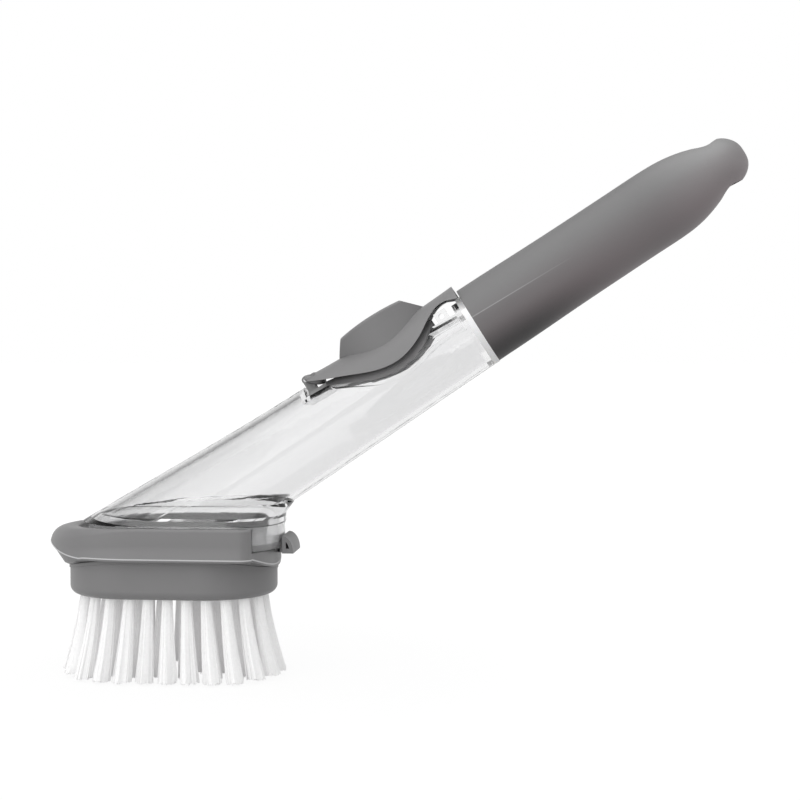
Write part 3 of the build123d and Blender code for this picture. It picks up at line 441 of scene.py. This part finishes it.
# ---- Pump saddle ----------------------------------------------------------------------------
# Grey moulded seat let into the tube's pocket under the lever, shown as its two sides, since the
# lever passes between them. Its places are along the tube from the joint and above the axis.
TUBE_TILT = math.radians(32.2)
JOINT_X = 0.1139
JOINT_Z = 0.1295
SADDLE_EDGE = (
    (-0.0580, 0.0109), (-0.056, 0.0100), (-0.0493, 0.0069), (-0.0409, 0.0029), (-0.032, 0.0011),
    (-0.025, 0.0023), (-0.0205, 0.0040), (-0.017, 0.0068), (-0.0135, 0.0108),
)
SADDLE_SMOOTHING = 11
SADDLE_RADIUS = 0.0134
SADDLE_THICK = 0.0010
SADDLE_OPENING = 0.0100
SADDLE_OPENING_SHARE = 0.6
SADDLE_SINK = 0.0489
SADDLE_FREE = 0.0010


def saddle_mesh():
    """Two closed strips, one a side: an arc round the tube from the opening down to the edge.

    A place on the arc is the radius times the sine and the cosine of its turn. The turn runs from
    the opening to the one whose cosine is the edge's height over the radius. Each place sinks by
    the lever's travel there less the free gap, times its height over the radius. SADDLE_SINK is
    that travel as an angle in radians.
    """
    along = np.linspace(SADDLE_EDGE[0][0], SADDLE_EDGE[-1][0], 97)
    edge = np.interp(along, [u for u, w in SADDLE_EDGE], [w for u, w in SADDLE_EDGE])
    window = np.ones(SADDLE_SMOOTHING) / SADDLE_SMOOTHING
    edge = np.convolve(np.pad(edge, SADDLE_SMOOTHING // 2, mode="edge"), window, mode="valid")
    half = np.arccos(np.clip(edge / SADDLE_RADIUS, -1.0, 1.0))
    opening = np.minimum(np.arcsin(SADDLE_OPENING / SADDLE_RADIUS), SADDLE_OPENING_SHARE * half)
    sink = np.maximum(0.0, SADDLE_SINK * (along - SADDLE_EDGE[0][0]) - SADDLE_FREE)
    share = np.linspace(0.0, 1.0, 17)
    turn = opening[:, None] + (half - opening)[:, None] * share[None, :]
    cos, sin = math.cos(TUBE_TILT), math.sin(TUBE_TILT)
    points, quads = [], []
    for side in (1.0, -1.0):
        outer = np.stack([side * np.sin(turn), np.cos(turn)], axis=-1)
        inner = outer[:, ::-1] * (SADDLE_RADIUS - SADDLE_THICK)
        ring = np.concatenate([outer * SADDLE_RADIUS, inner], axis=1)
        high = ring[..., 1] - sink[:, None] * np.clip(ring[..., 1] / SADDLE_RADIUS, 0.0, 1.0)
        u = np.broadcast_to(along[:, None], high.shape)
        base = len(points) * high.size
        points.append(np.stack([
            JOINT_X + u * cos - high * sin, ring[..., 0], JOINT_Z + u * sin + high * cos,
        ], axis=-1).reshape(-1, 3))
        count, around = high.shape
        i = np.arange(count - 1)[:, None]
        j = np.arange(around)[None, :]
        after = (j + 1) % around
        skin = np.stack([
            i * around + j, i * around + after, (i + 1) * around + after, (i + 1) * around + j,
        ], axis=-1).reshape(-1, 4)
        k = np.arange(around // 2 - 1)
        near = np.stack([k, around - 1 - k, around - 2 - k, k + 1], axis=-1)
        far = near[:, ::-1] + (count - 1) * around
        faces = np.concatenate([skin, near, far]) + base
        quads.extend((faces if side < 0 else faces[:, ::-1]).tolist())
    mesh = bpy.data.meshes.new("pump_saddle")
    mesh.from_pydata(np.concatenate(points), [], quads)
    mesh.update()
    return mesh


seat_plastic = plastic("seat_plastic", (0.20, 0.197, 0.20), 0.45, 0.08, 2500.0, 0.12)
saddle = piece_of(saddle_mesh(), seat_plastic)
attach(saddle, "reservoir")
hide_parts("pump_seat")

# ---- Lever's front roll ---------------------------------------------------------------------
# Thick rounded end of the lever, moulded with the leaf in the same grey.
# It lies round the knuckle that turns on the pin.
ROLL_CENTRE = (0.0536, 0.0, 0.1099)
ROLL_HALF = (0.0041, 0.0066, 0.0018)
ROLL_DROP = 0.0006
ROLL_SQUARE = 0.35


def roll_mesh(rings=24, sides=48):
    """Rounded bar of flat ellipses, squared off towards both ends and sloping to the rear.

    An ellipse's size is the sine of the way from end to end to a small power. Each place drops
    in proportion to its distance to the rear of the bar's middle.
    """
    t = np.linspace(0.0, np.pi, rings + 2)[1:-1]
    a = np.linspace(0.0, 2 * np.pi, sides, endpoint=False)
    reach = np.sin(t) ** ROLL_SQUARE
    x = ROLL_HALF[0] * reach[:, None] * np.cos(a)[None, :]
    z = ROLL_HALF[2] * reach[:, None] * np.sin(a)[None, :] - ROLL_DROP * x / ROLL_HALF[0]
    y = np.broadcast_to(-ROLL_HALF[1] * np.cos(t)[:, None], x.shape)
    skin = np.stack([x, y, z], axis=-1).reshape(-1, 3)
    ends = np.array([[0.0, -ROLL_HALF[1], 0.0], [0.0, ROLL_HALF[1], 0.0]])
    points = np.concatenate([skin, ends]) + np.array(ROLL_CENTRE)
    i = np.arange(rings - 1)[:, None]
    j = np.arange(sides)[None, :]
    after = (j + 1) % sides
    quads = np.stack([
        i * sides + j, (i + 1) * sides + j, (i + 1) * sides + after, i * sides + after,
    ], axis=-1).reshape(-1, 4).tolist()
    j, after = j[0], after[0]
    last = (rings - 1) * sides
    first_pole = np.full(sides, rings * sides)
    caps = np.stack([first_pole, j, after], axis=-1).tolist()
    caps += np.stack([first_pole + 1, last + after, last + j], axis=-1).tolist()
    mesh = bpy.data.meshes.new("lever_front_roll")
    mesh.from_pydata(points, [], quads + caps)
    mesh.polygons.foreach_set("use_smooth", np.ones(len(mesh.polygons), dtype=bool))
    mesh.update()
    return mesh


roll = piece_of(roll_mesh(), lever_plastic)
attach(roll, "press_lever")

# ---- Grip -----------------------------------------------------------------------------------
# Hollow handle screwed on the reservoir's neck, moulded in a satin grey, its sides creased along
# the parting near the joint, with a threaded bush inside its mouth. Its colour holds painted light:
# a warm painted reflection and painted shade low down, and a painted highlight on the crease.
# The lever's bracket is of the same paler plastic as the bush.
GRIP_GREY = (0.165, 0.164, 0.165)
# Painted reflection: the warm tint reflected low on the grip's sides.
GRIP_REFLECTED_WARM = (0.165, 0.142, 0.147)
# Painted shade: the near-black colour of the grip's lower front and how far it reaches, above and
# along.
GRIP_PAINTED_SHADE = (0.012, 0.010, 0.011)
SHADE_ABOVE = (-0.001, -0.0130)
SHADE_ALONG = (0.058, 0.012)
PALE_ALONG = (0.070, 0.105)
PALE_GAIN = 1.45
# Painted reflection: where the warm tint lies and how strong its patches are.
REFLECTED_WARM_ABOVE = (0.008, -0.006)
REFLECTED_WARM_GAIN = 1.6
CREASE_HEIGHT = 0.0034
CREASE_FALL = 0.02
CREASE_END = 0.042
CREASE_FULL = 0.35
CREASE_REACH = 0.010
CREASE_DEPTH = 0.0011
CREASE_LINE = 0.00028
# Painted highlight on the crease: its strength and its pale colour.
CREASE_HIGHLIGHT_SHARE = 0.75
CREASE_HIGHLIGHT_COLOUR = (0.36, 0.36, 0.36)


def tube_frame_group():
    """Group that turns Object coordinates into distance along the tube and height above it."""
    group = bpy.data.node_groups.new("tube_frame", "ShaderNodeTree")
    group.interface.new_socket("Along", in_out="OUTPUT", socket_type="NodeSocketFloat")
    group.interface.new_socket("Above", in_out="OUTPUT", socket_type="NodeSocketFloat")
    result = group.nodes.new("NodeGroupOutput")
    coords = node(group, "ShaderNodeTexCoord")
    for name, direction in (
        ("Along", (math.cos(TUBE_TILT), 0.0, math.sin(TUBE_TILT))),
        ("Above", (-math.sin(TUBE_TILT), 0.0, math.cos(TUBE_TILT))),
    ):
        dot = node(group, "ShaderNodeVectorMath", operation="DOT_PRODUCT")
        group.links.new(coords.outputs["Object"], dot.inputs[0])
        dot.inputs[1].default_value = direction
        start = node(group, "ShaderNodeMath", operation="SUBTRACT")
        group.links.new(dot.outputs["Value"], start.inputs[0])
        start.inputs[1].default_value = JOINT_X * direction[0] + JOINT_Z * direction[2]
        group.links.new(start.outputs[0], result.inputs[name])
    return group


tube_frame = tube_frame_group()


def math_node(tree, operation, first, second):
    """One operation on two sockets or numbers."""
    made = node(tree, "ShaderNodeMath", operation=operation)
    for socket, value in zip(made.inputs, (first, second)):
        if isinstance(value, (int, float)):
            socket.default_value = value
        else:
            tree.links.new(value, socket)
    return made.outputs[0]


def ramp(tree, value, spans, low=0.0, high=1.0, **values):
    """Map Range of a socket, from the two ends of a span to a low and a high value."""
    made = node(
        tree, "ShaderNodeMapRange",
        From_Min=spans[0], From_Max=spans[1], To_Min=low, To_Max=high, **values,
    )
    tree.links.new(value, made.inputs["Value"])
    return made.outputs[0]


def mixed(tree, share, first, second):
    """Colour between a socket or colour and a second one, at a share."""
    made = node(tree, "ShaderNodeMix", data_type="RGBA")
    tree.links.new(share, made.inputs["Factor"])
    for socket, value in zip(made.inputs[6:8], (first, second)):
        if isinstance(value, tuple):
            socket.default_value = (*value, 1.0)
        else:
            tree.links.new(value, socket)
    return made.outputs[2]


grip_plastic = plastic("grip_plastic", GRIP_GREY, 0.5, 0.08, 2200.0, 0.15)
tree = grip_plastic.node_tree
shader = tree.nodes["Principled BSDF"]
surface = next(
    made for made in tree.nodes
    if made.bl_idname == "ShaderNodeGroup" and made.node_tree == moulded
)
grain = next(made for made in tree.nodes if made.bl_idname == "ShaderNodeBump")
place = node(tree, "ShaderNodeGroup", node_tree=tube_frame)
along, above = place.outputs["Along"], place.outputs["Above"]

# Crease: a ridge beside a line that falls slowly along the grip and fades out.
line = math_node(tree, "ADD", math_node(tree, "MULTIPLY", along, -CREASE_FALL), CREASE_HEIGHT)
distance = math_node(tree, "ABSOLUTE", math_node(tree, "SUBTRACT", above, line), 0.0)
fade = ramp(tree, along, (CREASE_END, CREASE_END * CREASE_FULL))
ridge = ramp(tree, distance, (0.0, CREASE_REACH), 1.0, 0.0)
facet = node(tree, "ShaderNodeBump", Strength=1.0, Distance=CREASE_DEPTH)
tree.links.new(math_node(tree, "MULTIPLY", ridge, fade), facet.inputs["Height"])
tree.links.new(facet.outputs["Normal"], grain.inputs["Normal"])

# Painted reflection: a warm tint in soft patches below the crease, under the shared mottle.
coords = node(tree, "ShaderNodeTexCoord")
patch = node(tree, "ShaderNodeTexNoise", Scale=14.0, Detail=1.0)
tree.links.new(coords.outputs["Object"], patch.inputs["Vector"])
cloudy = math_node(tree, "MULTIPLY", patch.outputs["Fac"], REFLECTED_WARM_GAIN)
painted_warm_reflection = math_node(tree, "MULTIPLY", cloudy, ramp(tree, above, REFLECTED_WARM_ABOVE))
tree.links.new(mixed(tree, painted_warm_reflection, GRIP_GREY, GRIP_REFLECTED_WARM), surface.inputs["Colour"])

# Painted shade darkens the lower front nearly to black, the rear end is made lighter, and a painted
# highlight runs as a pale line on the crease.
low = ramp(tree, above, SHADE_ABOVE, interpolation_type="SMOOTHSTEP")
front = ramp(tree, along, SHADE_ALONG, interpolation_type="SMOOTHSTEP")
shaded_front = mixed(
    tree, math_node(tree, "MULTIPLY", low, front), surface.outputs["Colour"], GRIP_PAINTED_SHADE,
)
paler = node(tree, "ShaderNodeMix", data_type="RGBA", blend_type="MULTIPLY")
paler.inputs[0].default_value = 1.0
tree.links.new(shaded_front, paler.inputs[6])
rear = ramp(tree, along, PALE_ALONG, 1.0, PALE_GAIN, interpolation_type="SMOOTHSTEP")
tree.links.new(rear, paler.inputs[7])
# Painted highlight: a pale line along the crease, fading out with it.
edge = ramp(tree, distance, (0.0, CREASE_LINE), CREASE_HIGHLIGHT_SHARE, 0.0)
crease_highlighted = mixed(tree, math_node(tree, "MULTIPLY", edge, fade), paler.outputs[2], CREASE_HIGHLIGHT_COLOUR)
tree.links.new(crease_highlighted, shader.inputs["Base Color"])
inner_plastic = plastic("inner_plastic", (0.32, 0.32, 0.32), 0.5, 0.06, 1500.0, 0.1)
dress(grip_plastic, "grip")
dress(inner_plastic, "grip_bush", "lever_bracket")


# ---- Clear reservoir ------------------------------------------------------------------------
# Tube, rim and neck are one moulding of clear plastic, two millimetres thick and polished.
def clear_plastic(name, colour, roughness):
    """Clear moulded plastic, faintly wavy, with a slight grey body tint."""
    material = bpy.data.materials.new(name)
    material.use_nodes = True
    tree = material.node_tree
    shader = tree.nodes["Principled BSDF"]
    shader.inputs["Base Color"].default_value = (*colour, 1.0)
    shader.inputs["Transmission Weight"].default_value = 1.0
    shader.inputs["IOR"].default_value = 1.46
    coords = node(tree, "ShaderNodeTexCoord")
    wave = node(tree, "ShaderNodeTexNoise", Scale=40.0, Detail=1.0)
    relief = node(tree, "ShaderNodeBump", Strength=0.015, Distance=0.001)
    tree.links.new(coords.outputs["Object"], wave.inputs["Vector"])
    tree.links.new(wave.outputs["Fac"], relief.inputs["Height"])
    tree.links.new(relief.outputs["Normal"], shader.inputs["Normal"])
    haze = node(tree, "ShaderNodeMapRange", To_Min=roughness, To_Max=roughness + 0.04)
    tree.links.new(wave.outputs["Fac"], haze.inputs["Value"])
    tree.links.new(haze.outputs[0], shader.inputs["Roughness"])
    return material


clear_body = clear_plastic("clear_plastic", (0.905, 0.905, 0.908), 0.03)
dress(clear_body, "reservoir")

# ---- Foot tray ------------------------------------------------------------------------------
# Floor of the reservoir, welded under its rim and standing in the shoe.
# It is of the same clear plastic, slightly cloudy.
TRAY_CLEAR = 0.8
tray_plastic = clear_plastic("tray_plastic", (0.93, 0.93, 0.935), 0.05)
shader = tray_plastic.node_tree.nodes["Principled BSDF"]
shader.inputs["Transmission Weight"].default_value = TRAY_CLEAR
dress(tray_plastic, "foot_tray")

# ---- Seals and valve ------------------------------------------------------------------------
# Soft milky rings: the joint's seal, the neck's O-ring, the outlet valve with its ring, the
# pump diaphragm and the gasket of the head. All are pressed or snapped in place.
milky = plastic("milky_seal", (0.88, 0.868, 0.865), 0.45, 0.05, 900.0, 0.1)
milky.node_tree.nodes["Principled BSDF"].inputs["Subsurface Weight"].default_value = 0.05
dress(
    milky, "grip_seal", "neck_o_ring", "outlet_valve", "valve_ring", "pump_diaphragm",
    "head_gasket",
)

# ---- Pins and staples -----------------------------------------------------------------------
# Bright steel: the lever's pin and the flat wire staples over the tufts' folded roots.
steel = plastic("steel", (0.55, 0.55, 0.56), 0.25, 0.05, 3000.0, 0.05)
steel.node_tree.nodes["Principled BSDF"].inputs["Metallic"].default_value = 1.0
dress(steel, "lever_pin", "tuft_staples")

# ---- Bristles -------------------------------------------------------------------------------
# Tufts of white nylon, stapled in two oval rings and a middle row of the block's underside,
# splayed outwards and trimmed level, a little shorter at the two ends.
BLOCK_FRONT = -0.0385
BLOCK_REAR = 0.0392
BLOCK_HALF_WIDTH = 0.0224
BLOCK_END_RUN = 0.025
TUFT_RINGS = ((0.0056, 24), (0.0138, 14))
CENTRE_TUFTS = (-0.017, -0.009, 0.009, 0.017)
ROOT_Z = 0.0316
TUFT_RADIUS = 0.0018
TIP_SPREAD = 1.75
SPREAD_POWER = 1.2
FLUTE = 0.07
FLUTE_AT_ROOT = 0.3
LEAN = (0.17, 0.14)
LEAN_BENT = 0.4
TIP_RISE = 0.0045
TIP_RISE_START = 0.62
FRONT_ROW_PHASE = 0.22
BODY_TRIM = 0.0006
BODY_STRAY = 0.0003
FILAMENTS_A_TUFT = 64
FILAMENT_FROM = 0.75
FILAMENT_RADIUS = 0.00017
BOW = (0.4, 0.3)
STRAY = 0.0003
TRIM_LOW = 0.0002
TRIM_STRAY = 0.00045
# Painted light: strength of a faint glow of the nylon, in place of light passing through the
# filaments.
NYLON_PAINTED_GLOW = 0.10


def oval_places(inset, count):
    """Even steps of length round an oval, from its rear: half ellipses joined by straight sides."""
    run = BLOCK_END_RUN - inset
    width = BLOCK_HALF_WIDTH - inset
    turn = np.linspace(0.0, 2.0 * np.pi, 1441)
    ahead = np.cos(turn) > 0
    middle = np.where(ahead, BLOCK_REAR - BLOCK_END_RUN, BLOCK_FRONT + BLOCK_END_RUN)
    x = np.cos(turn) * run + middle
    y = np.sin(turn) * width
    steps = np.hypot(np.diff(x), np.diff(y))
    reach = np.concatenate([[0.0], np.cumsum(steps)])
    wanted = (np.arange(count) + FRONT_ROW_PHASE) / count * reach[-1]
    return np.stack([np.interp(wanted, reach, x), np.interp(wanted, reach, y)], axis=1)


def filament_mesh(name, roots, tips, bows, radius, first_points, first_faces, rings=4, sides=3):
    """Thin prisms from roots to tips, after the tufts' bodies in the same mesh.

    Each runs on the straight line plus a bow times the way squared less the way.
    """
    count = len(roots)
    way = np.linspace(0.0, 1.0, rings)[None, :, None]
    line = roots[:, None, :] * (1 - way) + tips[:, None, :] * way
    line = line + bows[:, None, :] * (way ** 2 - way)
    angle = np.linspace(0.0, 2.0 * np.pi, sides, endpoint=False)
    circle = np.stack([np.cos(angle), np.sin(angle), np.zeros(sides)], axis=1) * radius
    points = (line[:, :, None, :] + circle[None, None, :, :]).reshape(-1, 3)
    base = (len(first_points) + np.arange(count) * rings * sides)[:, None, None]
    ring = (np.arange(rings - 1) * sides)[None, :, None]
    here = np.arange(sides)[None, None, :]
    after = (here + 1) % sides
    quads = np.stack([
        base + ring + here,
        base + ring + after,
        base + ring + sides + after,
        base + ring + sides + here,
    ], axis=-1).reshape(-1, 4)
    root_caps = base[:, :, 0] + np.arange(sides)[None, ::-1]
    tip_caps = base[:, :, 0] + (rings - 1) * sides + np.arange(sides)[None, :]
    mesh = bpy.data.meshes.new(name)
    faces = first_faces + quads.tolist() + root_caps.tolist() + tip_caps.tolist()
    mesh.from_pydata(np.concatenate([first_points, points]), [], faces)
    mesh.update()
    return mesh


def tuft_bodies(places, rings=7, sides=14):
    """Body of each tuft: rings that widen and lean outwards from root to trimmed end, with flutes.

    A ring's radius is the root's times one plus the spread that grows with a power of the way,
    and times each side's own flute. Its centre follows the lean, part of it with the way and
    part with the way squared. The height runs straight from the root's to the trimmed end's.
    """
    count = len(places)
    way = np.linspace(0.0, 1.0, rings)[None, :, None]
    depth = FLUTE_AT_ROOT + (1.0 - FLUTE_AT_ROOT) * way
    flute = 1.0 + chance.normal(0.0, FLUTE, (count, 1, sides)) * depth
    angle = np.linspace(0.0, 2.0 * np.pi, sides, endpoint=False)[None, None, :]
    radius = TUFT_RADIUS * (1.0 + (TIP_SPREAD - 1.0) * way ** SPREAD_POWER) * flute
    lean = places * np.array(LEAN)
    bent = ((1.0 - LEAN_BENT) * way + LEAN_BENT * way ** 2)[..., None]
    middle = places[:, None, None, :] + lean[:, None, None, :] * bent
    ragged = BODY_TRIM + chance.normal(0.0, BODY_STRAY, (count, 1, sides))
    end = trimmed_height(places)[:, None, None] + ragged
    x = middle[..., 0] + radius * np.cos(angle)
    y = middle[..., 1] + radius * np.sin(angle)
    z = ROOT_Z * (1 - way) + end * way
    points = np.stack([x, y, z], axis=-1).reshape(-1, 3)
    start = (np.arange(count) * rings * sides)[:, None, None]
    ring = (np.arange(rings - 1) * sides)[None, :, None]
    here = np.arange(sides)[None, None, :]
    after = (here + 1) % sides
    quads = np.stack([
        start + ring + after,
        start + ring + here,
        start + ring + sides + here,
        start + ring + sides + after,
    ], axis=-1).reshape(-1, 4)
    roots = start[:, :, 0] + np.arange(sides)[None, :]
    ends = start[:, :, 0] + (rings - 1) * sides + np.arange(sides)[None, ::-1]
    return points, quads.tolist() + roots.tolist() + ends.tolist()


def trimmed_height(places):
    """Height of the trimmed end over a place: level, rising towards the two ends of the block."""
    reach = np.clip(np.abs(places[:, 0]) / BLOCK_REAR - TIP_RISE_START, 0.0, None)
    return TRIM_LOW + TIP_RISE * reach


chance = np.random.default_rng(7)
centre = np.stack([np.array(CENTRE_TUFTS), np.zeros(len(CENTRE_TUFTS))], axis=1)
places = np.concatenate([oval_places(inset, count) for inset, count in TUFT_RINGS] + [centre])
body_points, body_faces = tuft_bodies(places)
tufts = np.repeat(places, FILAMENTS_A_TUFT, axis=0)
total = len(tufts)
spin = chance.uniform(0.0, 2.0 * np.pi, total)
away = np.sqrt(chance.uniform(FILAMENT_FROM, 1.0, total))
offset = np.stack([np.cos(spin), np.sin(spin)], axis=1) * (away * TUFT_RADIUS)[:, None]
lean = tufts * np.array(LEAN)
roots = np.concatenate([tufts + offset, np.full((total, 1), ROOT_Z)], axis=1)
stray = chance.normal(0.0, STRAY, (total, 2))
tip_z = trimmed_height(tufts) + np.abs(chance.normal(0.0, TRIM_STRAY, total))
tips = np.concatenate([tufts + lean + offset * TIP_SPREAD + stray, tip_z[:, None]], axis=1)
bows = np.concatenate([lean * BOW[0] + offset * BOW[1], np.zeros((total, 1))], axis=1)
nylon = bpy.data.materials.new("white_nylon")
nylon.use_nodes = True
tree = nylon.node_tree
shader = tree.nodes["Principled BSDF"]
streak = node(tree, "ShaderNodeTexNoise", Scale=900.0, Detail=2.0)
coords = node(tree, "ShaderNodeTexCoord")
tree.links.new(coords.outputs["Object"], streak.inputs["Vector"])
shade = node(tree, "ShaderNodeMapRange", To_Min=0.82, To_Max=0.92)
tree.links.new(streak.outputs["Fac"], shade.inputs["Value"])
tree.links.new(shade.outputs[0], shader.inputs["Base Color"])
shader.inputs["Roughness"].default_value = 0.55
# Painted light: the nylon glows faintly, standing in for light that passes through the filaments.
shader.inputs["Emission Color"].default_value = (1.0, 0.985, 0.99, 1.0)
shader.inputs["Emission Strength"].default_value = NYLON_PAINTED_GLOW
tuft_mesh = filament_mesh(
    "bristle_tufts", roots, tips, bows, FILAMENT_RADIUS, body_points, body_faces,
)
bristles = piece_of(tuft_mesh, nylon)
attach(bristles, "brush_head")
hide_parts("bristles")

bpy.context.view_layer.update()
